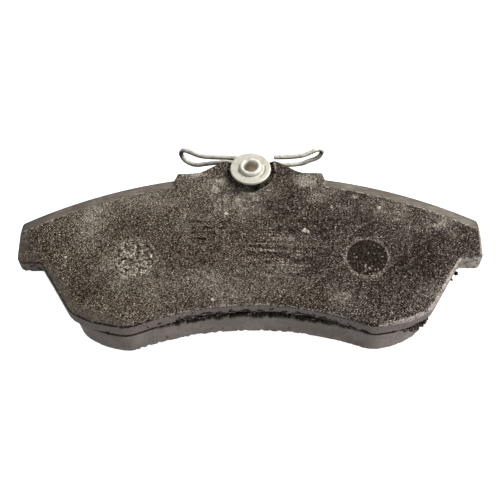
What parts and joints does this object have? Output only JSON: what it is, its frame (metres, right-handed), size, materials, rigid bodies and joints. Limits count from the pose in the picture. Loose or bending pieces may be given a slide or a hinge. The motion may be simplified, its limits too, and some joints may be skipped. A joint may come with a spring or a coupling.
{
  "type": "brake pad",
  "caption": "Disc brake pad: steel backing plate with abutment ears, moulded friction lining, and a riveted wire spring with two flexing loops on its tab.",
  "frame": {"origin": "bottom centre of the part's box, with the pad lying on its friction face", "axes": "+X along the pad, +Y away from the disc's centre, +Z out of the plate's back face, where the piston presses"},
  "size_m": [0.137, 0.0613, 0.0219],
  "materials": {
    "plate": "matte",
    "underlayer": "matte",
    "lining": "matte",
    "rivet": "satin",
    "washer": "satin",
    "spring_wire": "satin"
  },
  "bodies": {
    "pad": {"backing_plate": "plate", "underlayer": "underlayer", "friction_lining": "lining", "rivet": "rivet", "rivet_washer": "washer", "spring_hook": "spring_wire", "spring_bridge": "spring_wire"},
    "left_spring_arm": {"spring_left_loop": "spring_wire"},
    "right_spring_arm": {"spring_right_loop": "spring_wire"}
  },
  "joints": [
    {"name": "left_arm_flex", "type": "hinge", "parent": "pad", "child": "left_spring_arm", "pos_m": [-0.00735, 0.02657, 0.01847], "axis": [0, 0, 1], "range_deg": [0, 6], "stiffness_Nm_per_rad": 4},
    {"name": "right_arm_flex", "type": "hinge", "parent": "pad", "child": "right_spring_arm", "pos_m": [0.00735, 0.02657, 0.01847], "axis": [0, 0, -1], "range_deg": [0, 6], "stiffness_Nm_per_rad": 4}
  ]
}
